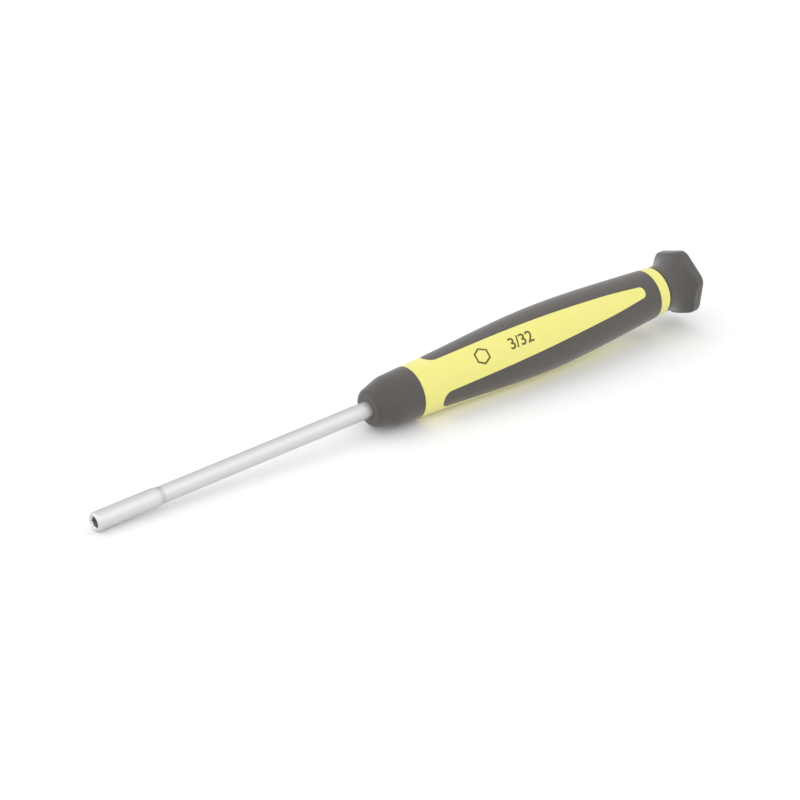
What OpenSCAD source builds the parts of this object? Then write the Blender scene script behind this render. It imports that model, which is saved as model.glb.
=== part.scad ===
// Miniature nut driver: a hex socket blade in a two-colour moulded handle, with a
// hexagonal swivel cap that turns freely on a pin set in the end of the handle.
// The blade lies along +X and the centre of the socket's mouth is the origin.
// Lengths are in millimetres and angles in degrees. A clock angle is measured
// round the blade from +Z towards -Y.

/* [Blade] */
// Length of the blade in front of the handle
blade_len = 75; // [40:1:150]
// Diameter of the shank
shank_d = 4; // [3.2:0.1:4.6]
// Outer diameter of the socket
socket_d = 4.55; // [4.2:0.05:6]
// Parallel length of the socket
socket_len = 15.5; // [12:0.1:25]
// Length of the taper from the socket down to the shank
shoulder_len = 1.9; // [0.8:0.1:4]
// Width across the flats of the hex recess
hex_af = 2.42; // [1.8:0.01:3]
// Depth of the hex recess
hex_depth = 5; // [3:0.1:7]
// Clock angle of one corner of the hex recess
hex_clock = 25.5; // [0:0.5:59.5]
// Diameter of the relief bore behind the hex recess
relief_d = 2.1; // [1.2:0.1:2.4]
// Depth of the relief bore, from the mouth
relief_depth = 9; // [8:0.1:11]
// Chamfer round the outside of the mouth
mouth_chamfer = 0.35; // [0.1:0.05:0.6]
// Chamfer that leads a nut into the hex recess
lead_in = 0.2; // [0.05:0.05:0.4]
// Length of the tang moulded into the handle
tang_len = 40; // [24:1:60]
// Length of each pair of wings pressed out of the tang
wing_len = 7; // [3:0.5:9]
// Width over each pair of wings
wing_span = 6.4; // [5:0.1:7.4]
// Thickness of the wings
wing_t = 1.4; // [0.8:0.1:2]
// Distance of each pair of wings behind the one before it
wing_pitch = 11; // [10:0.5:16]

/* [Handle] */
// Length of the nose sleeve
nose_len = 12; // [9:0.05:18]
// Length of the yellow band behind the nose
band_len = 5.4; // [3:0.05:10]
// Length of the grip, from its finger ends to the rear ring
grip_len = 68.4; // [55:0.05:90]
// Length of the yellow ring at the rear
ring_len = 3.1; // [2:0.1:6]
// Distance of the thickest place behind the front of the nose
belly_at = 50.7; // [40:0.1:60]
// Diameter of the handle where the nose meets the band
waist_d = 12.75; // [12.2:0.05:14.5]
// Diameter of the handle at its thickest
belly_d = 16.1; // [14.6:0.1:21]
// Diameter of the handle at its rear end
tail_d = 11.9; // [11.4:0.05:13.4]
// Rise of the outline per length where the nose meets the band
waist_slope_share = 0.02; // [0:0.005:0.06]
// Fall of the outline per length at the rear end
tail_slope_share = 0.07; // [0:0.005:0.09]

/* [Grip] */
// Thickness of the grip over the core
grip_wall = 1.5; // [1:0.1:2]
// Number of fingers, and of windows between them
window_count = 3; // [3:1:3]
// Clock angle of the first window
window_clock = 48.5; // [0:0.5:119.5]
// Half angle of a window at the finger ends
window_front_angle = 39.5; // [32:0.5:44]
// Half angle of a window where it starts to close
window_mid_angle = 20.5; // [16:0.5:26]
// Half angle of a window at its blunt rear tip
window_tip_angle = 12.3; // [9:0.1:14]
// Length from the grip's rear end to where a window starts to close
closing_at = 14.5; // [11:0.1:20]
// Length from the grip's rear end to the tip of a window
tip_at = 4.4; // [3:0.1:8]
// Radius of the corners at the tip of a window
tip_corner_r = 1; // [0.4:0.1:1.1]
// Radius of the corners at the finger ends
finger_corner_r = 2.1; // [1:0.1:2.5]

/* [Nose] */
// Diameter of the flat front of the nose
nose_flat_d = 7; // [6.5:0.1:8.4]
// Radius of the edge round the flat front
nose_edge_r = 1.25; // [0.5:0.05:1.5]
// Diameter of the shoulder where the cone ends
shoulder_d = 12.2; // [11.4:0.05:12.7]
// Distance of the shoulder behind the front of the nose
shoulder_at = 5.5; // [4:0.1:8]
// Diameter of the core's spigot inside the nose
spigot_d = 8; // [7:0.1:8.6]
// Thickness of the nose in front of the spigot
nose_front_wall = 2.4; // [1.8:0.1:4]
// Chamfer round the front of the spigot
spigot_chamfer = 0.7; // [0.2:0.1:1]
// Number of keys that stop the nose from turning on the spigot
key_count = 3; // [2:1:6]
// Height of the keys above the spigot
key_h = 0.8; // [0.3:0.1:1]
// Width of the keys
key_w = 2.2; // [1:0.1:3]
// Length of the keys
key_len = 5; // [2:0.1:6]

/* [Swivel cap] */
// Width across the flats of the cap
cap_af = 15.55; // [14.8:0.05:19]
// Radius of the upright corners of the cap
cap_corner_r = 2.5; // [1:0.1:4]
// Length of the cap
cap_len = 9.15; // [8.8:0.05:14]
// Clock angle of one corner of the cap
cap_clock = 10.3; // [0:0.1:59]
// Diameter of the cap's round neck
neck_d = 11.6; // [11.2:0.05:12.6]
// Length of the cap's round neck
neck_len = 1.9; // [1:0.1:2.6]
// Radius of the hollow flare from the neck out to the hexagon
flare_r = 5.1; // [4:0.1:6.5]
// Radius of the edge round the rear of the cap
cap_edge_r = 1.4; // [0.8:0.1:2]
// Diameter of the end plug
plug_d = 10.2; // [9.6:0.1:11]
// Thickness of the end plug
plug_t = 1.3; // [0.9:0.1:1.6]
// Dish in the outer face of the end plug
plug_dish = 0.3; // [0.1:0.05:0.5]

/* [Swivel bearing] */
// Diameter of the swivel pin
pin_d = 3; // [2.4:0.1:3.6]
// Length of the pin pressed into the core
pin_grip_len = 20; // [10:1:26]
// Diameter of the pin's head
head_d = 6.4; // [5.4:0.1:7.4]
// Thickness of the pin's head
head_t = 1; // [0.6:0.1:1.4]
// Outer diameter of the bush
bush_d = 5.6; // [5:0.1:6.4]
// Diameter of the bush's flange
flange_d = 8; // [7:0.1:9]
// Thickness of the bush's flange
flange_t = 0.7; // [0.4:0.1:1]
// Length of the bush in front of its flange
bush_len = 4.8; // [4:0.1:8]
// Outer diameter of the thrust washer between the core and the cap
thrust_d = 8.6; // [7.5:0.1:9.2]
// Thickness of the thrust washer
thrust_t = 0.7; // [0.5:0.05:1.2]
// Outer diameter of the washer under the pin's head
head_washer_d = 7.2; // [6:0.1:8.4]
// Thickness of the washer under the pin's head
head_washer_t = 0.4; // [0.2:0.05:0.6]

/* [Clearances] */
// Gap all round the shank where it leaves the nose
shank_gap = 0.3; // [0.1:0.05:0.6]
// Gap between the rear ring and the cap
cap_gap = 0.35; // [0.3:0.05:0.5]
// Radial running clearance of the pin in the bush
run_gap = 0.04; // [0.02:0.01:0.08]
// End play at each thrust face
end_play = 0.1; // [0.05:0.01:0.2]
// Gap round the washers and the head inside the cap
side_gap = 0.4; // [0.3:0.05:0.8]

/* [Hidden] */
$fn = 96;

// How far a cutting shape runs past the piece that it cuts
overrun = 0.5;
// Included angle of the drill point at the end of the relief bore
drill_angle = 118;
// Straight pieces in each half of the barrel's outline, and in a window's edge
barrel_steps = 22;
window_steps = 18;
// Straight pieces in a small rounded corner
corner_steps = 6;
// Clock angles of the first key on the spigot and of the first pair of wings
key_clock = 48.5;
wing_clock = 0;
// Pairs of wings on the tang, each a quarter turn from the one before it
wing_pairs = 2;
wing_turn = 90;

// Places along the blade
nose_x = blade_len;
spigot_x = nose_x + nose_front_wall;
band_x = nose_x + nose_len;
finger_x = band_x + band_len;
belly_x = nose_x + belly_at;
ring_x = finger_x + grip_len;
closing_x = ring_x - closing_at;
tip_x = ring_x - tip_at;
core_end_x = ring_x + ring_len;
tang_end_x = nose_x + tang_len;
wing_end_x = tang_end_x - shank_d / 2;
cap_x = core_end_x + cap_gap;
cap_end_x = cap_x + cap_len;
flare_x = cap_x + neck_len;
thrust_end_x = core_end_x + thrust_t;
bush_x = thrust_end_x + end_play;
flange_x = bush_x + bush_len;
head_washer_x = flange_x + flange_t + end_play;
head_x = head_washer_x + head_washer_t;
plug_x = cap_end_x - plug_t;

// Radii that several pieces share
bush_bore_r = pin_d / 2 + run_gap;
washer_bore_r = pin_d / 2 + run_gap;
pocket_r = max(head_d, head_washer_d, flange_d) / 2 + side_gap;
reach = max(belly_d, cap_af);

// Smooth curve between two radii whose slopes are given, at share t of its length
function eased(r0, slope0, r1, slope1, length, t) =
    (2 * t ^ 3 - 3 * t ^ 2 + 1) * r0 + (t ^ 3 - 2 * t ^ 2 + t) * length * slope0
    + (3 * t ^ 2 - 2 * t ^ 3) * r1 + (t ^ 3 - t ^ 2) * length * slope1;

// Radius of the barrel-shaped handle at a place along the blade
function barrel_r(x) = x < belly_x
    ? eased(waist_d / 2, waist_slope_share, belly_d / 2, 0,
            belly_x - band_x, (x - band_x) / (belly_x - band_x))
    : eased(belly_d / 2, 0, tail_d / 2, -tail_slope_share,
            core_end_x - belly_x, (x - belly_x) / (core_end_x - belly_x));

// Places along the blade at which the barrel's outline has its points
barrel_xs = concat(
    [for (i = [0 : barrel_steps - 1]) band_x + (belly_x - band_x) * i / barrel_steps],
    [for (i = [0 : barrel_steps]) belly_x + (core_end_x - belly_x) * i / barrel_steps]);

// Half angle of a window at a place along the blade, closing faster near its tip
function window_half_angle(x) = x < closing_x
    ? window_front_angle + (window_mid_angle - window_front_angle)
        * (x - finger_x) / (closing_x - finger_x)
    : window_mid_angle + (window_tip_angle - window_mid_angle)
        * (x - closing_x) / (tip_x - closing_x);
function window_half_w(x) = barrel_r(x) * sin(window_half_angle(x));

// Six-sided outline with round corners
function rounded_hex(af, corner_r) =
    let (centre_r = (af / 2 - corner_r) / cos(30))
    [for (side = [0 : 5], i = [0 : corner_steps])
        let (corner = side * 60, turn = corner - 30 + 60 * i / corner_steps)
        [centre_r * cos(corner) + corner_r * cos(turn),
         centre_r * sin(corner) + corner_r * sin(turn)]];

// Turns an outline of [place along the blade, radius] points round the blade's axis
module turned(outline) {
    rotate([0, 90, 0]) rotate_extrude() polygon([for (p = outline) [p[1], p[0]]]);
}

// Round bar along the blade's axis, from one place to another
module bar(x0, x1, r) {
    translate([x0, 0, 0]) rotate([0, 90, 0]) cylinder(r = r, h = x1 - x0);
}

// Flat ring along the blade's axis
module collar(x0, x1, r, bore_r) {
    difference() {
        bar(x0, x1, r);
        bar(x0 - overrun, x1 + overrun, bore_r);
    }
}

// Shank, tang and wings, which the core is moulded round
module tang_form() {
    bar(socket_len + shoulder_len, tang_end_x, shank_d / 2);
    for (i = [0 : wing_pairs - 1])
        rotate([wing_clock + wing_turn * i, 0, 0])
            translate([wing_end_x - wing_pitch * i - wing_len, -wing_span / 2, -wing_t / 2])
                cube([wing_len, wing_span, wing_t]);
}

// Socket with its taper down to the shank
module socket_form() {
    turned([[0, 0], [0, socket_d / 2 - mouth_chamfer], [mouth_chamfer, socket_d / 2],
            [socket_len, socket_d / 2], [socket_len + shoulder_len, shank_d / 2],
            [socket_len + shoulder_len, 0]]);
}

// Hex recess with its lead-in and the drilled relief behind it
module hex_recess() {
    hex_r = hex_af / 2 / cos(30);
    rotate([hex_clock, 0, 0]) translate([-overrun, 0, 0]) rotate([0, 90, 0])
        cylinder(r = hex_r, h = hex_depth + overrun, $fn = 6);
    turned([[-overrun, 0], [-overrun, hex_r + lead_in + overrun], [lead_in, hex_r],
            [lead_in, 0]]);
    turned([[0, 0], [0, relief_d / 2], [relief_depth, relief_d / 2],
            [relief_depth + relief_d / 2 / tan(drill_angle / 2), 0]]);
}

module driver_blade() {
    color("#c9cccf") difference() {
        union() {
            socket_form();
            tang_form();
        }
        hex_recess();
    }
}

// Barrel of the handle, lifted off its surface or sunk below it by a given amount
module barrel(lift) {
    turned(concat([[band_x, 0]], [for (x = barrel_xs) [x, barrel_r(x) + lift]],
                  [[core_end_x, 0]]));
}

// Outline of one window, with a round corner each side of its tip and the round corners
// of the finger ends beside its front
module window_outline() {
    corner_x = finger_x + finger_corner_r;
    corner_w = finger_corner_r * cos(window_front_angle);
    edge_x0 = tip_x - tip_corner_r;
    edge = concat(
        [for (i = [0 : corner_steps - 1])
            let (a = 90 * i / corner_steps)
            [tip_x - tip_corner_r * (1 - cos(a)),
             window_half_w(edge_x0) - tip_corner_r * (1 - sin(a))]],
        [for (i = [0 : window_steps - 1])
            let (x = edge_x0 + (corner_x - edge_x0) * i / window_steps)
            [x, window_half_w(x)]],
        [for (i = [0 : corner_steps])
            let (a = 90 * i / corner_steps)
            [corner_x - finger_corner_r * sin(a),
             window_half_w(corner_x) + corner_w * (1 - cos(a))]],
        [[finger_x, reach], [band_x, reach]]);
    polygon(concat(edge, [for (i = [len(edge) - 1 : -1 : 0]) [edge[i][0], -edge[i][1]]]));
}

module windows() {
    for (i = [0 : window_count - 1])
        rotate([window_clock + 360 / window_count * i, 0, 0])
            linear_extrude(height = reach) window_outline();
}

// Room that the grip fills round the core
module grip_room(lift) {
    difference() {
        intersection() {
            barrel(lift);
            bar(finger_x - overrun, ring_x, reach);
        }
        barrel(-grip_wall);
        windows();
    }
}

// Spigot of the core and its keys, which the nose is moulded round
module spigot_form() {
    turned([[spigot_x, 0], [spigot_x, spigot_d / 2 - spigot_chamfer],
            [spigot_x + spigot_chamfer, spigot_d / 2], [band_x, spigot_d / 2], [band_x, 0]]);
    for (i = [0 : key_count - 1])
        rotate([key_clock + 360 / key_count * i, 0, 0])
            translate([band_x - key_len, -key_w / 2, 0])
                cube([key_len, key_w, spigot_d / 2 + key_h]);
}

module handle_core() {
    color("#f0e878") difference() {
        union() {
            barrel(0);
            spigot_form();
        }
        grip_room(overrun);
        tang_form();
        bar(core_end_x - pin_grip_len, core_end_x + overrun, pin_d / 2);
    }
}

module nose_sleeve() {
    edge_x = nose_x + nose_edge_r;
    flat_r = nose_flat_d / 2;
    cone_angle = atan((shoulder_d / 2 - flat_r - nose_edge_r) / (shoulder_at - nose_edge_r));
    edge = [for (i = [0 : corner_steps])
        let (a = (90 - cone_angle) * i / corner_steps)
        [edge_x - nose_edge_r * cos(a), flat_r + nose_edge_r * sin(a)]];
    color("#66625f") difference() {
        turned(concat([[nose_x, 0]], edge, [[nose_x + shoulder_at, shoulder_d / 2],
                      [band_x, waist_d / 2], [band_x, 0]]));
        spigot_form();
        bar(nose_x - overrun, spigot_x + overrun, shank_d / 2 + shank_gap);
    }
}

module grip_sleeve() {
    color("#66625f") grip_room(0);
}

module thrust_washer() {
    color("#e9e6dc") collar(core_end_x, thrust_end_x, thrust_d / 2, washer_bore_r);
}

module swivel_pin() {
    color("#b4b7ba") {
        bar(core_end_x - pin_grip_len, head_x, pin_d / 2);
        bar(head_x, head_x + head_t, head_d / 2);
    }
}

module head_washer() {
    color("#b4b7ba") collar(head_washer_x, head_x, head_washer_d / 2, washer_bore_r);
}

module pin_bush() {
    color("#b58c4a") difference() {
        union() {
            bar(bush_x, flange_x, bush_d / 2);
            bar(flange_x, flange_x + flange_t, flange_d / 2);
        }
        bar(bush_x - overrun, flange_x + flange_t + overrun, bush_bore_r);
    }
}

// Solid hexagon of the cap, its rear edge rounded over
module cap_block() {
    slice_t = cap_edge_r / corner_steps / 4;
    hull() for (i = [0 : corner_steps])
        let (a = 90 * i / corner_steps, inset = cap_edge_r * (1 - cos(a)),
             x = i == 0 ? cap_x : cap_end_x - cap_edge_r * (1 - sin(a)) - slice_t)
        translate([x, 0, 0]) rotate([0, 90, 0]) linear_extrude(height = slice_t)
            polygon(rounded_hex(cap_af - 2 * inset, cap_corner_r));
}

module swivel_cap() {
    color("#66625f") difference() {
        rotate([cap_clock, 0, 0]) cap_block();
        collar(cap_x - overrun, flare_x, reach, neck_d / 2);
        translate([flare_x, 0, 0]) rotate([0, 90, 0]) rotate_extrude()
            translate([neck_d / 2 + flare_r, 0]) circle(r = flare_r);
        bar(cap_x - overrun, bush_x, thrust_d / 2 + side_gap);
        bar(cap_x - overrun, cap_end_x, bush_d / 2);
        bar(flange_x, cap_end_x, pocket_r);
        bar(plug_x, cap_end_x + overrun, plug_d / 2);
    }
}

module cap_plug() {
    rim_r = plug_d / 2 - plug_dish;
    color("#66625f")
        turned([[plug_x, 0], [plug_x, plug_d / 2], [cap_end_x, plug_d / 2],
                [cap_end_x, rim_r], [cap_end_x - plug_dish, rim_r - plug_dish],
                [cap_end_x - plug_dish, 0]]);
}

driver_blade();
handle_core();
nose_sleeve();
grip_sleeve();
thrust_washer();
swivel_pin();
head_washer();
pin_bush();
swivel_cap();
cap_plug();
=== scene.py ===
# %% [markdown]
# # A miniature nut driver
# The tool has a satin steel blade with a hex socket, a slim barrel handle moulded in
# yellow and dark grey plastic, and a hexagonal cap that spins under a fingertip.
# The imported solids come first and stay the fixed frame. Everything that follows dresses
# them: each visible piece is modelled again with soft edges and gets its own finish.

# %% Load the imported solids
import math

import bmesh
import bpy
from mathutils import Matrix, Vector


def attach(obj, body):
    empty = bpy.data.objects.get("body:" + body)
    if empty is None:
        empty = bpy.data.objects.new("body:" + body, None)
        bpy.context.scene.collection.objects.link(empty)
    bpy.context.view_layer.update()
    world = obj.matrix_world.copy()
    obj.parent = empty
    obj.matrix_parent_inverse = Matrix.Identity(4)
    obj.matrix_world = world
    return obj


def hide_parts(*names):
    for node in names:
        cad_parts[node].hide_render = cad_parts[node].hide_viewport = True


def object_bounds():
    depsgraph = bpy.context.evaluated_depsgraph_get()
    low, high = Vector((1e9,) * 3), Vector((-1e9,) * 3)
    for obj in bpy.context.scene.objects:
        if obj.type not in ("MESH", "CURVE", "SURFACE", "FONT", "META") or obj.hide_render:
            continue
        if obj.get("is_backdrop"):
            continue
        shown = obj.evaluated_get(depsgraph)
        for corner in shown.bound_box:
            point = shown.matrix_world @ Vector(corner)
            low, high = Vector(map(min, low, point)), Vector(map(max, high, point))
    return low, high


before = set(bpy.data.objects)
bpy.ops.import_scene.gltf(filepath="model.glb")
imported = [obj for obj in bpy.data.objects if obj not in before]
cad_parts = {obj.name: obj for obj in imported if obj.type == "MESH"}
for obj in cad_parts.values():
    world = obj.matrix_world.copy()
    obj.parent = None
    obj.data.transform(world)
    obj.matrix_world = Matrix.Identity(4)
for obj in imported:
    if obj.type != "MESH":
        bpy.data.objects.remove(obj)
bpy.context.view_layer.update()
scene = bpy.context.scene
print("solids:", sorted(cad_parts))

# %% [markdown]
# ## The sizes
# All sizes are in millimetres and repeat the ones that the solids were built from, so each
# new piece lands where its solid is. Only the lip of the nose comes closer to the shank, as
# a moulding does. A place along the tool is measured from the mouth of the socket, and a
# clock angle goes round the tool from straight up towards the viewer.

# %% Sizes of the blade, the handle and the cap, in millimetres
socket_r, shank_r, socket_len, shoulder_end, tang_end = 2.275, 2.0, 15.5, 17.4, 115.0
mouth_chamfer, lead_in, relief_r, relief_depth = 0.35, 0.2, 1.05, 9.0
hex_flats, hex_depth, hex_clock = 2.42, 5.0, 25.5

nose_x, spigot_x, shoulder_x, band_x, finger_x = 75.0, 77.4, 80.5, 87.0, 92.4
belly_x, closing_x, tip_x, ring_x, core_end = 125.7, 146.3, 156.4, 160.8, 163.9
waist_r, belly_r, tail_r, waist_slope, tail_slope = 6.375, 8.05, 5.95, 0.02, -0.07
lip_r, spigot_r, pin_r, pin_start = 2.06, 4.0, 1.5, 143.9

window_count, window_clock, grip_wall, finger_corner = 3, 48.5, 1.5, 2.1
front_angle, closing_angle, tip_angle = 39.5, 20.5, 12.3

cap_x, cap_end, neck_r, flare_x, flare_r, cap_edge = 164.25, 173.4, 5.8, 166.15, 5.1, 1.4
cap_flats, cap_corner, cap_clock = 15.55, 2.5, 10.3
bush_x, bush_r, flange_x, pocket_r, thrust_r = 164.7, 2.8, 169.5, 4.4, 4.7
plug_x, plug_r, plug_dish = 172.1, 5.1, 0.3
millimetre = 0.001
print("tool length:", cap_end, "mm")

# %% [markdown]
# ## A bench of small tools
# Blender's operators act on whatever is selected, so every piece starts with a clean
# selection. A turned piece is drawn the way a turner thinks: one vertex walks along half of
# the outline by extruding, and the line is then spun once round the tool's axis. A circle
# pulled along the tool and resized would also do, but the outline is easier to read.

# %% Selecting and welding
def start_fresh():
    """Leaves edit mode and selects nothing."""
    if bpy.context.object and bpy.context.object.mode != "OBJECT":
        bpy.ops.object.mode_set(mode="OBJECT")
    bpy.ops.object.select_all(action="DESELECT")


def pick_up(piece, mode="OBJECT"):
    """Makes one piece the only selected one, in the mode that the next operator needs."""
    start_fresh()
    piece.select_set(True)
    bpy.context.view_layer.objects.active = piece
    bpy.ops.object.mode_set(mode=mode)


def select_where(piece, kind, wanted):
    """In edit mode, selects the faces, edges or vertices that a rule picks out."""
    bpy.ops.mesh.select_mode(type=kind)
    bpy.ops.mesh.select_all(action="DESELECT")
    mesh = bmesh.from_edit_mesh(piece.data)
    mesh.normal_update()
    parts = {"FACE": mesh.faces, "EDGE": mesh.edges, "VERT": mesh.verts}[kind]
    chosen = [part for part in parts if wanted(part)]
    for part in chosen:
        part.select_set(True)
    bmesh.update_edit_mesh(piece.data)
    return len(chosen)


def weld(reach=0.0005):
    """Merges the doubles of the piece in edit mode and turns its faces outwards."""
    bpy.ops.mesh.select_all(action="SELECT")
    bpy.ops.mesh.remove_doubles(threshold=reach)
    bpy.ops.mesh.normals_make_consistent(inside=False)


# %% Turning a piece from its outline
def rounded(corners, steps=6):
    """Outline through (place, radius, rounding) corners, with an arc at each rounded one."""
    points = []
    for i, (x, r, size) in enumerate(corners):
        if size == 0:
            points.append((x, r))
            continue
        here = Vector((x, r))
        before = (Vector(corners[i - 1][:2]) - here).normalized()
        after = (Vector(corners[i + 1][:2]) - here).normalized()
        half = before.angle(after) / 2
        centre = here + (before + after).normalized() * size / math.sin(half)
        first = here + before * size / math.tan(half) - centre
        last = here + after * size / math.tan(half) - centre
        start = math.atan2(first.y, first.x)
        turn = (math.atan2(last.y, last.x) - start + math.pi) % math.tau - math.pi
        points += [(centre.x + size * math.cos(start + turn * k / steps),
                    centre.y + size * math.sin(start + turn * k / steps))
                   for k in range(steps + 1)]
    return points


def turned(name, outline, steps=128):
    """Spins an outline of (place, radius) points round the tool's axis."""
    start_fresh()
    bpy.ops.mesh.primitive_plane_add(size=1)
    piece = bpy.context.object
    piece.name = piece.data.name = name
    bpy.ops.object.mode_set(mode="EDIT")
    bpy.ops.mesh.select_mode(type="VERT")
    bpy.ops.mesh.select_all(action="SELECT")
    bpy.ops.mesh.merge(type="CENTER")
    bpy.ops.transform.translate(value=(outline[0][0], 0, outline[0][1]))
    for (x0, r0), (x1, r1) in zip(outline, outline[1:]):
        bpy.ops.mesh.extrude_vertices_move(
            TRANSFORM_OT_translate={"value": (x1 - x0, 0, r1 - r0)})
    bpy.ops.mesh.select_all(action="SELECT")
    bpy.ops.mesh.spin(steps=steps, angle=math.tau, center=(0, 0, 0), axis=(1, 0, 0))
    weld()
    bpy.ops.object.mode_set(mode="OBJECT")
    return piece


# %% Cutting with another shape, and handing a piece over
def apply_boolean(piece, tool, operation):
    """Cuts a tool's shape from a piece or adds it, and clears the tool away."""
    pick_up(piece)
    cut = piece.modifiers.new("cut", "BOOLEAN")
    cut.operation, cut.object, cut.solver = operation, tool, "EXACT"
    bpy.ops.object.modifier_apply(modifier=cut.name)
    bpy.data.objects.remove(tool)


def set_in_place(piece):
    """Writes the object's own turn, place and scale into its mesh."""
    pick_up(piece)
    bpy.ops.object.transform_apply(location=True, rotation=True, scale=True)


def hand_over(piece, angle):
    """Shades a finished piece and scales it from millimetres to the frame's metres."""
    piece.scale = (millimetre, millimetre, millimetre)
    set_in_place(piece)
    bpy.ops.object.shade_smooth_by_angle(angle=math.radians(angle))
    print(piece.name, "has", len(piece.data.polygons), "faces")


# %% [markdown]
# ## The blade
# The real blade is one steel bar: the socket is a little thicker than the shank, and its
# shoulder runs down in a soft taper. It is turned here from one outline. The chamfer round
# the mouth is where a satin tool catches the light, so its two corners are rounded.

# %% Turn the blade
mouth_rounding, rim_rounding, end_rounding = 0.12, 0.25, 0.3
socket_rounding, shank_rounding = 5, 1.2
blade = turned("blade", rounded([
    (0, 0, 0), (0, 1, 0), (0, socket_r - mouth_chamfer, mouth_rounding),
    (mouth_chamfer, socket_r, rim_rounding), (socket_len, socket_r, socket_rounding),
    (shoulder_end, shank_r, shank_rounding), (tang_end, shank_r, end_rounding),
    (tang_end, 0, 0)]))
print("blade turned:", len(blade.data.polygons), "faces")

# %% [markdown]
# ## The hex recess
# The recess takes a nut or a screw's head. On the real tool it is punched into the bar over
# a drilled hole. Two cutters do the same: a six-sided prism, and a turned drill with a short
# cone at its front that leaves the lead-in. Booleans keep the six corners crisp. The wings
# on the tang, which stop the bar from turning in the handle, are bevelled blocks added on.

# %% Punch the recess and press out the wings
hex_r = hex_flats / 2 / math.cos(math.radians(30))
spare, cone_past, drill_point = 1, 0.15, 0.63
start_fresh()
bpy.ops.mesh.primitive_cylinder_add(
    vertices=6, radius=hex_r, depth=hex_depth + spare,
    location=((hex_depth - spare) / 2, 0, 0), rotation=(0, math.pi / 2, 0))
punch = bpy.context.object
set_in_place(punch)
punch.rotation_euler.x = math.radians(hex_clock - 30)
set_in_place(punch)
drill = turned("drill", [
    (-spare, 0), (-spare, hex_r + lead_in + spare), (lead_in + cone_past, hex_r - cone_past),
    (lead_in + cone_past, relief_r), (relief_depth, relief_r),
    (relief_depth + drill_point, 0)], steps=64)
apply_boolean(blade, punch, "DIFFERENCE")
apply_boolean(blade, drill, "DIFFERENCE")
long, wide, thick, wing_bevel, front_wings, rear_wings = 7, 6.4, 1.4, 0.3, 98.5, 109.5
for place, size in ((rear_wings, (long, wide, thick)), (front_wings, (long, thick, wide))):
    start_fresh()
    bpy.ops.mesh.primitive_cube_add(size=1, location=(place, 0, 0), scale=size)
    wing = bpy.context.object
    set_in_place(wing)
    pick_up(wing, "EDIT")
    bpy.ops.mesh.select_all(action="SELECT")
    bpy.ops.mesh.bevel(offset=wing_bevel, segments=2, affect="EDGES")
    apply_boolean(blade, wing, "UNION")
pick_up(blade, "EDIT")
weld(0.002)
hand_over(blade, 24)

# %% [markdown]
# ## The nose sleeve
# The dark grey nose is moulded over a spigot of the core. Its front is flat, a cone runs out
# to a soft shoulder, and from there it swells gently to the yellow band. The outline closes
# on itself, so the spin gives a sleeve with its bore and not a solid plug.

# %% Turn the nose
nose_front_r, nose_rounding, shoulder_r, shoulder_rounding = 4.43, 1.25, 6.1, 8
edge_rounding, spigot_chamfer = 0.12, 0.7
nose = turned("nose", rounded([
    (spigot_x, lip_r, 0), (nose_x, lip_r, edge_rounding), (nose_x, nose_front_r, nose_rounding),
    (shoulder_x, shoulder_r, shoulder_rounding), (band_x, waist_r, edge_rounding),
    (band_x, spigot_r, 0), (spigot_x + spigot_chamfer, spigot_r, 0),
    (spigot_x, spigot_r - spigot_chamfer, 0), (spigot_x, lip_r, 0)], 8))
hand_over(nose, 35)

# %% [markdown]
# ## One third of the handle, laid flat
# The yellow core and the grey grip meet flush along the edges of three long windows. Drawn
# on a round body those edges are hard to control, so one third of the handle is modelled
# flat, as a mould maker would lay out a label, and rolled up afterwards. Lying flat, x is
# the place along the tool, y the way round it and z the height over the barrel's surface.
# The grip's finger starts as a block: its rear face is pulled back station by station and
# widened, and bevels on the upright edges give the round finger end and the window's tip.

# %% The barrel's curve, and the way round it as a flat length
flat_r = 6.5
half_third = 180 / window_count


def eased(r0, slope0, r1, slope1, length, t):
    """Smooth curve between two radii whose slopes are given."""
    return ((2 * t ** 3 - 3 * t ** 2 + 1) * r0 + (t ** 3 - 2 * t ** 2 + t) * length * slope0
            + (3 * t ** 2 - 2 * t ** 3) * r1 + (t ** 3 - t ** 2) * length * slope1)


def barrel_r(x):
    """Radius of the barrel at a place along the tool."""
    if x < belly_x:
        run = belly_x - band_x
        return eased(waist_r, waist_slope, belly_r, 0, run, (x - band_x) / run)
    run = core_end - belly_x
    return eased(belly_r, 0, tail_r, tail_slope, run, (x - belly_x) / run)


def flat(angle):
    """Length on the flat sheet of an angle round the tool."""
    return math.radians(angle) * flat_r


print("belly radius:", round(barrel_r(belly_x), 3), "tail radius:", round(barrel_r(core_end), 3))


# %% The finger block
tip_lean, closing_rounding, tip_rounding, pocket_overlap = 0.35, 3.5, 0.8, 3
close = 0.01


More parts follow.
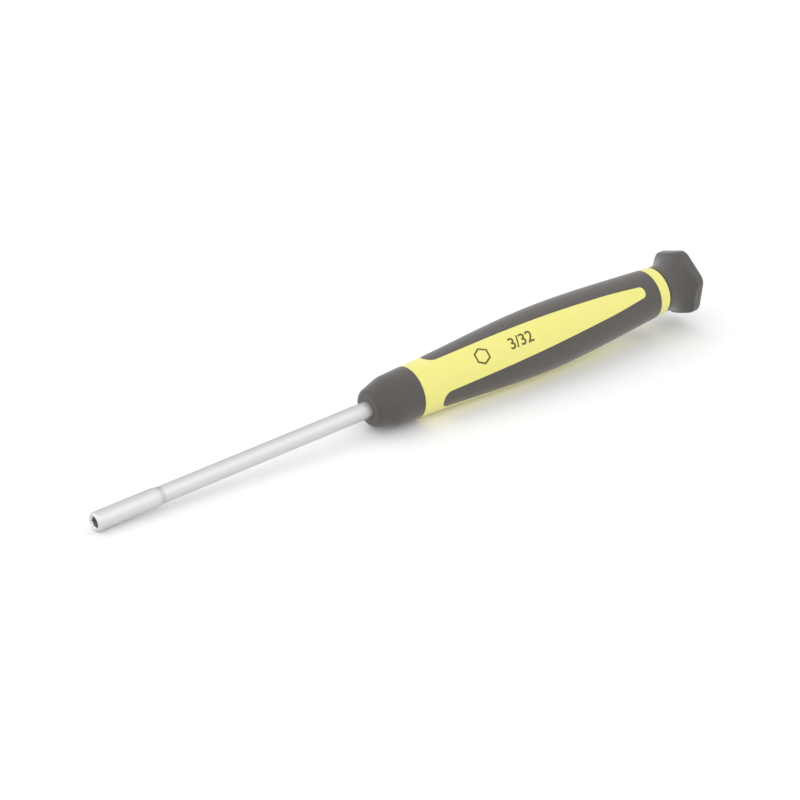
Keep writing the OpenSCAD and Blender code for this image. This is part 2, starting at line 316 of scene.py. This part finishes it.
def finger_block(name, low, high, seam_angle):
    """Flat block of one finger and its share of the rear collar, between two heights."""
    half = flat(half_third - front_angle)
    start_fresh()
    bpy.ops.mesh.primitive_cube_add(
        size=1, location=((finger_x + closing_x) / 2, 0, (low + high) / 2),
        scale=(closing_x - finger_x, 2 * half, high - low))
    block = bpy.context.object
    block.name = name
    set_in_place(block)
    pick_up(block, "EDIT")
    select_where(block, "FACE", lambda f: f.normal.x > 0.9)
    reached, wider = closing_x, flat(half_third - closing_angle)
    bpy.ops.transform.resize(value=(1, wider / half, 1), center_override=(closing_x, 0, 0))
    lean = tip_lean * (seam_angle - half_third) / tip_angle
    for place, angle in ((tip_x - tip_lean, half_third - tip_angle), (tip_x + lean, seam_angle),
                         (ring_x, seam_angle)):
        bpy.ops.mesh.extrude_region_move()
        bpy.ops.transform.translate(value=(place - reached, 0, 0))
        bpy.ops.transform.resize(value=(1, flat(angle) / wider, 1), center_override=(place, 0, 0))
        reached, wider = place, flat(angle)
    bpy.ops.mesh.select_all(action="SELECT")
    bpy.ops.mesh.dissolve_limited(angle_limit=math.radians(1))
    for place, size, segments in ((finger_x, finger_corner, 8), (closing_x, closing_rounding, 5),
                                  (tip_x - tip_lean, tip_rounding, 8)):
        select_where(block, "EDGE", lambda e: abs(e.verts[0].co.z - e.verts[1].co.z) > 0.5
                     and abs(e.verts[0].co.x - place) < close)
        bpy.ops.mesh.bevel(offset=size, segments=segments, affect="EDGES")
    weld()
    return block


grip = finger_block("grip", -grip_wall, 0, half_third)
pocket = finger_block("pocket", -grip_wall, 1, half_third + pocket_overlap)
print("finger block:", len(grip.data.polygons), "faces")

# %% [markdown]
# ## The flat core
# Under the grip the yellow core is cut away by the grip's own shape, so the two always fit.
# A slab as long as the handle has the finger block cut out of it, and what stays on top is
# the band, half a window on each side and the rear ring. Sides and underside come off,
# because three such skins are joined into one tube and the inside is closed later.

# %% Cut the finger out of a slab
ring_edge, slab = 0.35, 2.4
skin_front, skin_rear = band_x + edge_rounding, core_end - ring_edge
start_fresh()
bpy.ops.mesh.primitive_cube_add(
    size=1, location=((skin_front + skin_rear) / 2, 0, -slab / 2),
    scale=(skin_rear - skin_front, 2 * flat(half_third), slab))
core = bpy.context.object
core.name = "core"
set_in_place(core)
apply_boolean(core, pocket, "DIFFERENCE")
print("core slab:", len(core.data.polygons), "faces")


# %% [markdown]
# ## Soft rims, and enough points to bend
# Where two mouldings meet, the steel of the mould leaves a fine rounded rim on each, and
# the two rims make the hairline that the eye follows along the windows. A narrow bevel on
# every top edge gives it. The big flat faces are then cut across many times with bisect,
# so that there are points to follow the barrel's curve when the sheet is rolled up.

# %% Bevel the rims and slice the sheets
rim = 0.09


def slab_face(face):
    """The slab's sides, ends and underside, which the rolled core doesn't need."""
    middle = face.calc_center_median()
    return (middle.z < 0.1 - slab or abs(middle.y) > flat(half_third) - close
            or middle.x < skin_front + close or middle.x > skin_rear - close)


def seam_face(face):
    """The long sides of the grip's sheet, where its turned copies join on."""
    return (abs(face.normal.y) > 0.99
            and abs(face.calc_center_median().y) > flat(half_third) - close)


def rim_edge(edge):
    """An edge between the outer surface and an upright wall."""
    if len(edge.link_faces) != 2 or max(abs(v.co.z) for v in edge.verts) > 0.001:
        return False
    return min(face.normal.z for face in edge.link_faces) < 0.5


def slice_sheet(rows, columns, reach):
    """Cuts the flat sheet in edit mode into narrow rows and columns."""
    for point, normal in ([((x, 0, 0), (1, 0, 0)) for x in rows]
                          + [((0, y, 0), (0, 1, 0)) for y in columns]):
        bpy.ops.mesh.select_all(action="SELECT")
        bpy.ops.mesh.bisect(plane_co=point, plane_no=normal, threshold=reach)


row_start, row_step, row_count, column_count = 88, 1.25, 62, 15
rows = [row_start + row_step * i for i in range(row_count)]
columns = [flat(half_third) * (i / column_count) for i in range(1 - column_count, column_count)]
for piece, unneeded in ((core, slab_face), (grip, seam_face)):
    pick_up(piece, "EDIT")
    select_where(piece, "FACE", unneeded)
    bpy.ops.mesh.delete(type="FACE")
    rims = select_where(piece, "EDGE", rim_edge)
    bpy.ops.mesh.bevel(offset=rim, segments=3, affect="EDGES")
    slice_sheet(rows, columns, 0.002)
    bpy.ops.object.mode_set(mode="OBJECT")
    print(piece.name, "flat:", rims, "rim edges,", len(piece.data.polygons), "faces")

# %% [markdown]
# ## Rolling up
# Each point of the sheet moves to its place on the barrel: its way round the sheet becomes
# an angle, and its height is added to the barrel's radius there. A bend modifier can only
# roll onto a cylinder, and this barrel swells, so a short formula does it exactly. Two turned
# copies are joined to each third, and welding closes the seams between them.

# %% Roll the sheets and join three thirds
seam_reach = 0.004


def rolled(point, clock):
    """Place on the barrel of a point of the flat sheet."""
    angle = math.radians(clock) - point.y / flat_r
    r = barrel_r(point.x) + point.z
    return Vector((point.x, -r * math.sin(angle), r * math.cos(angle)))


def roll_up(piece):
    """Rolls one third onto the barrel and completes it with two copies."""
    for vertex in piece.data.vertices:
        vertex.co = rolled(vertex.co, window_clock + half_third)
    copies = [piece]
    for i in range(1, window_count):
        pick_up(piece)
        bpy.ops.object.duplicate()
        copy = bpy.context.object
        copy.rotation_euler.x = math.tau * i / window_count
        set_in_place(copy)
        copies.append(copy)
    start_fresh()
    for copy in copies:
        copy.select_set(True)
    bpy.context.view_layer.objects.active = piece
    bpy.ops.object.join()
    pick_up(piece, "EDIT")
    weld(seam_reach)
    bpy.ops.object.mode_set(mode="OBJECT")


for piece in (grip, core):
    roll_up(piece)
    print(piece.name, "rolled:", len(piece.data.polygons), "faces")


# %% [markdown]
# ## Closing the core
# The rolled core is an open tube. Its two open edges are true circles, so each is pulled on
# by extruding and resizing, ring by ring: round the edge of the band, down to the spigot
# inside the nose and into the blade's seat, and at the other end into the pin's seat.

# %% Pull the open rings inwards
def pull_rings(piece, place, outline):
    """Extrudes the open ring at a place through an outline that ends on the axis."""
    pick_up(piece, "EDIT")
    select_where(piece, "EDGE", lambda e: len(e.link_faces) == 1
                 and abs(e.verts[0].co.x - place) < close)
    reached, radius = place, barrel_r(place)
    for x, r in outline:
        bpy.ops.mesh.extrude_edges_move()
        bpy.ops.transform.translate(value=(x - reached, 0, 0))
        bpy.ops.transform.resize(value=(1, r / radius, r / radius), center_override=(x, 0, 0))
        reached, radius = x, r
    bpy.ops.mesh.merge(type="COLLAPSE")
    weld(seam_reach)
    bpy.ops.object.mode_set(mode="OBJECT")


band_r, band_rounding = barrel_r(skin_front), 0.11
ring_r, ring_rounding = barrel_r(skin_rear), 0.3
pull_rings(core, skin_front, rounded([
    (skin_front, band_r, 0), (band_x, band_r - 0.002, band_rounding), (band_x, spigot_r, 0),
    (spigot_x + spigot_chamfer, spigot_r, 0), (spigot_x, spigot_r - spigot_chamfer, 0),
    (spigot_x, shank_r, 0), (tang_end, shank_r, 0), (tang_end, close, 0)])[1:])
pull_rings(core, skin_rear, rounded([
    (skin_rear, ring_r, 0), (core_end, ring_r - 0.02, ring_rounding), (core_end, pin_r, 0),
    (pin_start, pin_r, 0), (pin_start, close, 0)])[1:])
print("core closed:", len(core.data.polygons), "faces")

# %% [markdown]
# ## Normals that follow the barrel
# The slicing left some very narrow faces beside the rims. Smooth shading averages the faces
# round each point, and a narrow one would pull that average astray and show as a ripple.
# The Weighted Normal modifier lets large faces count for more, which keeps the sheen even.

# %% Even out the shading
for piece in (core, grip):
    pick_up(piece)
    bpy.ops.object.shade_smooth_by_angle(angle=math.radians(50))
    even = piece.modifiers.new("even", "WEIGHTED_NORMAL")
    even.mode, even.keep_sharp, even.weight = "FACE_AREA", True, 50
    bpy.ops.object.modifier_apply(modifier=even.name)
    piece.scale = (millimetre, millimetre, millimetre)
    set_in_place(piece)
    print(piece.name, "has", len(piece.data.polygons), "faces")

# %% [markdown]
# ## The swivel cap
# The cap is a hexagon with round corners that a hollow flare cuts down to a round neck, so
# the six flats end in soft scallops. Cutting a hexagon with a ring would leave sharp edges
# there. Instead a plain round blank is turned with its bores, and each point of its outside
# then moves in to the nearer of two surfaces, the hexagon or the flare, with a soft blend
# where they meet, as a polished mould would have.

# %% Turn the cap's blank and shape its outside
blank_r = 12
scallop_blend = 0.3


def hexagon_r(angle, flats, corner):
    """Distance from the axis to a hexagon with round corners, at an angle from one corner."""
    from_corner = abs((angle + math.pi / 6) % (math.pi / 3) - math.pi / 6)
    from_flat = math.pi / 6 - from_corner
    reach = (flats / 2 - corner) / math.cos(math.pi / 6)
    if flats / 2 * math.tan(from_flat) <= reach / 2:
        return flats / 2 / math.cos(from_flat)
    return reach * math.cos(from_corner) + math.sqrt(
        corner ** 2 - (reach * math.sin(from_corner)) ** 2)


def cap_outside(x, angle):
    """Radius of the cap's outside at a place and an angle from one corner."""
    past = max(0, x - (cap_end - cap_edge)) / cap_edge
    inset = cap_edge * (1 - math.sqrt(max(0, 1 - past ** 2)))
    hexagon = hexagon_r(angle, cap_flats - 2 * inset, cap_corner)
    along = max(0, x - flare_x)
    if along >= flare_r:
        return hexagon
    flare = neck_r + flare_r - math.sqrt(flare_r ** 2 - along ** 2)
    blend = max(scallop_blend - abs(hexagon - flare), 0) / scallop_blend
    return min(hexagon, flare) - blend ** 2 * scallop_blend / 4


edge_start, neck_edge, seat_edge = cap_end - cap_edge, 0.1, 0.1
along_steps, round_steps = 64, 12
stations = [cap_x + neck_edge + (edge_start - cap_x - neck_edge) * i / along_steps
            for i in range(along_steps + 1)]
stations += [edge_start + cap_edge * math.sin(math.radians(90 * i / round_steps))
             for i in range(1, round_steps + 1)]
cap = turned("cap", [
    (cap_x, thrust_r), (cap_x, neck_r - 0.12), *[(x, blank_r) for x in stations],
    (cap_end, plug_r + 0.5), (cap_end, plug_r + seat_edge), (cap_end - seat_edge, plug_r),
    (plug_x, plug_r), (plug_x, pocket_r), (flange_x, pocket_r), (flange_x, bush_r),
    (bush_x, bush_r), (bush_x, thrust_r), (cap_x, thrust_r)], steps=288)
for vertex in cap.data.vertices:
    x, y, z = vertex.co
    if math.hypot(y, z) > blank_r - 0.1:
        angle = math.atan2(-y, z)
        r = cap_outside(x, angle - math.radians(cap_clock))
        vertex.co = (x, -r * math.sin(angle), r * math.cos(angle))
hand_over(cap, 40)

# %% [markdown]
# ## The end plug
# A thin disc closes the cap over the head of the pin. It is pressed in flush, with a shallow
# dish for the fingertip and a fine groove round it, which a small rounding on both sides
# gives. Turning is the plain way to make a disc with such a profile.

# %% Turn the plug
plug_gap, rim_in, dish_in = 0.03, 0.45, 1.4
plug = turned("plug", rounded([
    (plug_x, 0, 0), (plug_x, plug_r - plug_gap, 0), (cap_end, plug_r - plug_gap, 0.1),
    (cap_end, plug_r - rim_in, 0.3), (cap_end - plug_dish, plug_r - dish_in, 0.8),
    (cap_end - plug_dish, 0, 0)]))
hand_over(plug, 35)

# %% [markdown]
# ## The printed size mark
# The window that faces the viewer carries a plain size mark, a hexagon and the nut's size in
# inches. Ink is a film, so the mark is drawn flat, sliced as the handle's sheets were,
# thickened to a few hundredths and rolled on so that half of it stands proud of the barrel.
# A painted mask would blur when the camera comes close, and thin geometry stays sharp.

# %% Draw the mark and roll it on
film_thickness, mark_x, mark_y, hexagon_size, stroke = 0.05, 105, 0.45, 2.2, 0.42
text_x, text_height, text_weight = 113, 2.9, 0.012
start_fresh()
bpy.ops.mesh.primitive_circle_add(vertices=6, radius=hexagon_size, fill_type="NGON",
                                  location=(mark_x, mark_y, 0))
mark = bpy.context.object
mark.name = "size_mark"
set_in_place(mark)
pick_up(mark, "EDIT")
bpy.ops.mesh.select_all(action="SELECT")
bpy.ops.mesh.inset(thickness=stroke)
bpy.ops.mesh.delete(type="FACE")
start_fresh()
bpy.ops.object.text_add(location=(0, 0, 0))
size_text = bpy.context.object
size_text.data.body = "3/32"
size_text.data.offset = text_weight
bpy.ops.object.convert(target="MESH")
size_text = bpy.context.object
letter_scale = text_height / size_text.dimensions.y
size_text.scale = (letter_scale, letter_scale, 1)
set_in_place(size_text)
left = min(v.co.x for v in size_text.data.vertices)
low = min(v.co.y for v in size_text.data.vertices)
size_text.location = (text_x - left, mark_y - text_height / 2 - low, 0)
set_in_place(size_text)
start_fresh()
size_text.select_set(True)
mark.select_set(True)
bpy.context.view_layer.objects.active = mark
bpy.ops.object.join()
pick_up(mark, "EDIT")
along_step, across_step = 0.6, 0.3
slice_sheet([100 + along_step * i for i in range(60)],
            [-3 + across_step * i for i in range(21)], 0.0005)
weld()
bpy.ops.object.mode_set(mode="OBJECT")
film = mark.modifiers.new("film", "SOLIDIFY")
film.thickness, film.offset = film_thickness, 0
bpy.ops.object.modifier_apply(modifier=film.name)
for vertex in mark.data.vertices:
    vertex.co.y *= flat_r / barrel_r(vertex.co.x)
    vertex.co = rolled(vertex.co, window_clock)
hand_over(mark, 30)

# %% [markdown]
# ## Finishes
# A finish starts from the Principled shader, and fine noise on Object coordinates gives it
# the grain, so nothing stretches and every view shows the same surface. Each helper adds one
# thing: a noise of a given grain in millimetres, a ramp between two values, or a bump.

# %% Helpers for finishes
def new_finish(name, **sockets):
    """A material whose constant sockets are set directly, and its Object coordinates."""
    material = bpy.data.materials.new(name)
    material.use_nodes = True
    tree = material.node_tree
    shader = tree.nodes["Principled BSDF"]
    for socket, value in sockets.items():
        shader.inputs[socket.replace("_", " ")].default_value = value
    place = tree.nodes.new("ShaderNodeTexCoord").outputs["Object"]
    return material, tree, shader, place


def grain(tree, place, size, detail=2.0):
    """Noise whose grains are about a given size in millimetres."""
    node = tree.nodes.new("ShaderNodeTexNoise")
    node.inputs["Scale"].default_value = 1000 / size
    node.inputs["Detail"].default_value = detail
    tree.links.new(place, node.inputs["Vector"])
    return node.outputs["Fac"]


def between(tree, value, low, high, start=0.3, end=0.7):
    """Value or colour that runs from low to high as the input goes from start to end."""
    node = tree.nodes.new("ShaderNodeValToRGB")
    stops = node.color_ramp.elements
    for stop, position, shade in ((stops[0], start, low), (stops[1], end, high)):
        stop.position = position
        stop.color = (*shade, 1) if isinstance(shade, tuple) else (shade, shade, shade, 1)
    tree.links.new(value, node.inputs["Fac"])
    return node.outputs["Color"]


def roughen(tree, shader, height, depth):
    """Bump from a height, with its depth in millimetres."""
    node = tree.nodes.new("ShaderNodeBump")
    node.inputs["Distance"].default_value = depth / 1000
    node.inputs["Strength"].default_value = 1
    tree.links.new(height, node.inputs["Height"])
    tree.links.new(node.outputs["Normal"], shader.inputs["Normal"])


def arithmetic(tree, operation, *values):
    """One step of arithmetic on sockets or numbers."""
    node = tree.nodes.new("ShaderNodeMath")
    node.operation = operation
    for slot, value in zip(node.inputs, values):
        if isinstance(value, (int, float)):
            slot.default_value = value
        else:
            tree.links.new(value, slot)
    return node.outputs["Value"]


def tint(tree, factor, first, second):
    """Mixes two colours by a factor."""
    node = tree.nodes.new("ShaderNodeMix")
    node.data_type, node.blend_type = "RGBA", "MIX"
    for slot, value in ((node.inputs["Factor"], factor), (node.inputs["A"], first),
                        (node.inputs["B"], second)):
        if isinstance(value, (int, float)):
            slot.default_value = value
        elif isinstance(value, tuple):
            slot.default_value = (*value, 1)
        else:
            tree.links.new(value, slot)
    return node.outputs["Result"]


# %% [markdown]
# ## Satin steel
# The blade is blasted with fine beads and plated, which gives an even, pale satin. Its grain
# is about a tenth of a millimetre. A ring of painted shade darkens the steel where the taper of
# the shoulder meets the shank, in place of the shade in that concave crease, masked by its place.

# %% Satin steel for the blade
satin_steel, tree, shader, place = new_finish("satin_steel", Metallic=1.0)
blast = grain(tree, place, 0.12, 3.0)
cloud = grain(tree, place, 2.4)
axes = tree.nodes.new("ShaderNodeSeparateXYZ")
tree.links.new(place, axes.inputs["Vector"])
# Painted shade: a grey ring where the shoulder's taper meets the shank stands in for the shade in
# that concave crease.
crease_shade_place, crease_shade_strength = shoulder_end - 0.4, 0.42
from_crease_shade = arithmetic(tree, "ABSOLUTE", arithmetic(
    tree, "SUBTRACT", axes.outputs["X"], crease_shade_place / 1000), 0)
painted_crease_shade = between(tree, arithmetic(tree, "MULTIPLY", from_crease_shade, 1000), 1.0, 0.0, 0.2, 1.0)
steel = between(tree, cloud, (0.662, 0.666, 0.671), (0.68, 0.684, 0.689))
steel = tint(tree, arithmetic(tree, "MULTIPLY", painted_crease_shade, crease_shade_strength), steel,
             (0.38, 0.38, 0.37))
tree.links.new(steel, shader.inputs["Base Color"])
tree.links.new(between(tree, cloud, 0.44, 0.47), shader.inputs["Roughness"])
roughen(tree, shader, blast, 0.006)
print("satin steel:", len(tree.nodes), "nodes")

# %% [markdown]
# ## Moulded plastics
# The yellow core is a satin thermoplastic. A little light enters it and comes out beside the
# point where it went in, which a small subsurface weight gives. The grips are a soft matt
# moulding, and the cap is the same grey in a harder plastic. All three carry the fine
# texture of an eroded mould, each with its own grain.

# %% Yellow, grip grey, cap grey and ink
yellow_plastic, tree, shader, place = new_finish(
    "yellow_plastic", Subsurface_Weight=0.06, Subsurface_Scale=0.0006, Sheen_Weight=0.5,
    Subsurface_Radius=(1.0, 0.8, 0.3), Specular_IOR_Level=0.54, Sheen_Roughness=0.4)
cloud = grain(tree, place, 6)
tree.links.new(between(tree, cloud, (0.895, 0.842, 0.228), (0.915, 0.862, 0.258)),
               shader.inputs["Base Color"])
tree.links.new(between(tree, grain(tree, place, 0.6), 0.40, 0.48), shader.inputs["Roughness"])
roughen(tree, shader, grain(tree, place, 0.16, 3), 0.006)


def grey_moulding(name, dark, pale, rough, grain_size, depth):
    """Matt dark grey plastic with the texture of its mould."""
    material, tree, shader, place = new_finish(
        name, Specular_IOR_Level=0.46, Sheen_Weight=0.4, Sheen_Roughness=0.45)
    speckle = grain(tree, place, grain_size, 3)
    tree.links.new(between(tree, speckle, dark, pale), shader.inputs["Base Color"])
    tree.links.new(between(tree, grain(tree, place, 1.5), rough - 0.04, rough + 0.04),
                   shader.inputs["Roughness"])
    roughen(tree, shader, speckle, depth)
    return material


grip_grey = grey_moulding("grip_grey", (0.0687, 0.0608, 0.0551), (0.0885, 0.0787, 0.0711),
                          rough=0.56, grain_size=0.2, depth=0.02)
cap_grey = grey_moulding("cap_grey", (0.0725, 0.067, 0.0623), (0.0905, 0.0835, 0.0785),
                         rough=0.50, grain_size=0.16, depth=0.012)

ink, tree, shader, place = new_finish("dark_ink", Roughness=0.5, Specular_IOR_Level=0.3)
tree.links.new(between(tree, grain(tree, place, 0.3), (0.12, 0.098, 0.024), (0.15, 0.124, 0.034)),
               shader.inputs["Base Color"])
print("plastics:", yellow_plastic.name, grip_grey.name, cap_grey.name, ink.name)

# %% [markdown]
# ## The bearing inside the cap
# A pin with two washers and a brass bush lets the cap spin. Nothing of it shows while the
# tool is whole, and its solids have the right shape, so they stay as they are and only get
# proper finishes: drawn steel, turned brass with fine rings, and a white bearing plastic.

# %% Finishes of the inner pieces
drawn_steel, tree, shader, place = new_finish("drawn_steel", Metallic=1.0)
tree.links.new(between(tree, grain(tree, place, 0.4), (0.42, 0.43, 0.44), (0.50, 0.51, 0.52)),
               shader.inputs["Base Color"])
tree.links.new(between(tree, grain(tree, place, 0.2), 0.25, 0.36), shader.inputs["Roughness"])
turned_brass, tree, shader, place = new_finish("turned_brass", Metallic=1.0, Roughness=0.28)
tree.links.new(between(tree, grain(tree, place, 0.8), (0.46, 0.27, 0.07), (0.55, 0.34, 0.10)),
               shader.inputs["Base Color"])
rings, ring_step = tree.nodes.new("ShaderNodeTexWave"), 0.3
rings.bands_direction = "X"
rings.inputs["Scale"].default_value = 1000 / ring_step
tree.links.new(place, rings.inputs["Vector"])
roughen(tree, shader, rings.outputs["Fac"], 0.004)
white_plastic, tree, shader, place = new_finish("white_plastic", Roughness=0.4)
tree.links.new(between(tree, grain(tree, place, 0.7), (0.76, 0.74, 0.66), (0.82, 0.80, 0.72)),
               shader.inputs["Base Color"])
for node, material in (("thrust_washer", white_plastic), ("swivel_pin", drawn_steel),
                       ("head_washer", drawn_steel), ("pin_bush", turned_brass)):
    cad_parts[node].data.materials.clear()
    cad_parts[node].data.materials.append(material)
print("inner pieces dressed")

# %% [markdown]
# ## Dressing the pieces
# Every new piece rides on the body of the solid that it stands for: the cap and its plug turn
# together on the pin, and all the rest is the handle.

# %% Finish, ride and replace
for piece, material, body, slot, node in (
        (blade, satin_steel, "handle", "satin_steel", "driver_blade"),
        (core, yellow_plastic, "handle", "yellow_plastic", "handle_core"),
        (nose, grip_grey, "handle", "grey_grip", "nose_sleeve"),
        (grip, grip_grey, "handle", "grey_grip", "grip_sleeve"),
        (cap, cap_grey, "cap", "grey_plastic", "swivel_cap"),
        (plug, cap_grey, "cap", "grey_plastic", "cap_plug")):
    piece.data.materials.clear()
    piece.data.materials.append(material)
    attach(piece, body)
    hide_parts(node)
mark.data.materials.clear()
mark.data.materials.append(ink)
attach(mark, "handle")

# %% [markdown]
# ## The table top
# The tool lies on the rim of its socket and on its belly, so the table leans a little against
# the tool's own axis, and the cap hangs just clear of it. The table is white. Part of its
# whiteness is a glow that only the camera and reflections see, which keeps the background
# clean, and the rest is lit, so that the tool still throws its soft shadow.

# %% Lay the table
table_size, handle_places = 6, [90 + i / 2 for i in range(150)]
lean = max((barrel_r(x) - socket_r) / (x - mouth_chamfer) for x in handle_places)
start_fresh()
bpy.ops.mesh.primitive_plane_add(
    size=table_size, location=(mouth_chamfer / 1000, 0, -socket_r / 1000),
    rotation=(0, math.atan(lean), 0))
table = bpy.context.object
table.name = "table"
table_white = bpy.data.materials.new("table_white")
table_white.use_nodes = True
tree = table_white.node_tree
tree.nodes.clear()


def seen_directly(tree):
    """1 for rays that should meet the plain white: the camera's, and mirrored or bent ones."""
    path = tree.nodes.new("ShaderNodeLightPath").outputs
    seen = arithmetic(tree, "MAXIMUM", path["Is Camera Ray"], path["Is Glossy Ray"])
    return arithmetic(tree, "MAXIMUM", seen, path["Is Transmission Ray"])


table_lit, table_glow = 0.945, 0.085
lit = tree.nodes.new("ShaderNodeBsdfDiffuse")
lit.inputs["Color"].default_value = (table_lit, table_lit, table_lit, 1)
glow = tree.nodes.new("ShaderNodeEmission")
glow.inputs["Color"].default_value = (1, 1, 1, 1)
tree.links.new(arithmetic(tree, "MULTIPLY", seen_directly(tree), table_glow),
               glow.inputs["Strength"])
both = tree.nodes.new("ShaderNodeAddShader")
out = tree.nodes.new("ShaderNodeOutputMaterial")
tree.links.new(lit.outputs["BSDF"], both.inputs[0])
tree.links.new(glow.outputs["Emission"], both.inputs[1])
tree.links.new(both.outputs["Shader"], out.inputs["Surface"])
table.data.materials.append(table_white)
table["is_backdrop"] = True
print("table leans", round(math.degrees(math.atan(lean)), 2), "degrees")

# %% [markdown]
# ## Studio light
# The photograph has the light of a white tent: pale from everywhere, with one weak soft lamp
# behind the tool that leans its shadow towards the viewer. Light that falls on a surface
# comes from the whole tent evenly. What steel and plastic mirror is drawn wall by wall, since
# the wall behind the tool is further from the lamps and so a little greyer. All together
# light a level surface with about 1, so a colour renders about as it is written.

# %% Tent and lamp
sky_level, key_level = 0.975, 0.11
tent_walls = {
    "far": ((0.54, 0.71, 0.45), 0.62), "near": ((-0.54, -0.71, 0.45), 1.1),
    "left": ((-0.70, 0.56, 0.45), 1.35), "right": ((0.70, -0.56, 0.45), 1.18),
    "roof": ((0.0, 0.0, 1.0), 0.28)}
world = bpy.data.worlds.new("white_tent")
scene.world = world
world.use_nodes = True
tree = world.node_tree
direction = tree.nodes.new("ShaderNodeTexCoord").outputs["Generated"]
tent = 0.0
for side, level in tent_walls.values():
    facing = tree.nodes.new("ShaderNodeVectorMath")
    facing.operation = "DOT_PRODUCT"
    facing.inputs[1].default_value = side
    tree.links.new(direction, facing.inputs[0])
    wall = arithmetic(tree, "MAXIMUM", facing.outputs["Value"], 0.0)
    wall = arithmetic(tree, "POWER", wall, 2.0)
    tent = arithmetic(tree, "MULTIPLY_ADD", wall, level, tent)
tree.links.new(tint(tree, seen_directly(tree), (sky_level,) * 3, tent),
               tree.nodes["Background"].inputs["Color"])

key_distance, key_size, tool_middle = 1.2, 0.9, Vector((0.1, 0, 0))
towards = Vector((-0.05, 0.6, 1.0)).normalized()
light = bpy.data.lights.new("key_lamp", "AREA")
light.shape, light.size = "SQUARE", key_size
light.energy = key_level * math.pi ** 2 * key_distance ** 2
key_lamp = bpy.data.objects.new("key_lamp", light)
scene.collection.objects.link(key_lamp)
key_lamp.location = tool_middle + towards * key_distance
key_lamp.rotation_euler = towards.to_track_quat("Z", "Y").to_euler()
key_lamp.visible_glossy = False
print("tent", sky_level, "key", key_level, "walls", sorted(tent_walls))

# %% [markdown]
# ## The camera
# Place, turn and lens were worked out from the outline of the tool in the photograph. The
# three vectors are the camera's right, up and back sides in the tool's frame.

# %% Camera and picture settings
camera_data = bpy.data.cameras.new("camera")
camera_data.lens, camera_data.sensor_width = 135, 36
camera_data.clip_start, camera_data.clip_end = 0.01, 20
camera = bpy.data.objects.new("camera", camera_data)
scene.collection.objects.link(camera)
right = Vector((0.782155, -0.621987, -0.036953))
up = Vector((0.324323, 0.355766, 0.876496))
back = Vector((-0.532023, -0.697541, 0.479989))
camera.matrix_world = Matrix.Translation((-0.283971, -0.482883, 0.331270)) @ Matrix(
    (right, up, back)).transposed().to_4x4()
scene.camera = camera
scene.view_settings.view_transform = "Standard"
print("camera at", tuple(round(c, 3) for c in camera.location))

# %% [markdown]
# ## Sizes, and the end
# The dressed tool has to keep to the box of its solids, so the box of the dressed pieces is
# measured.

# %% Measure the box of the dressed tool
low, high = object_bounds()
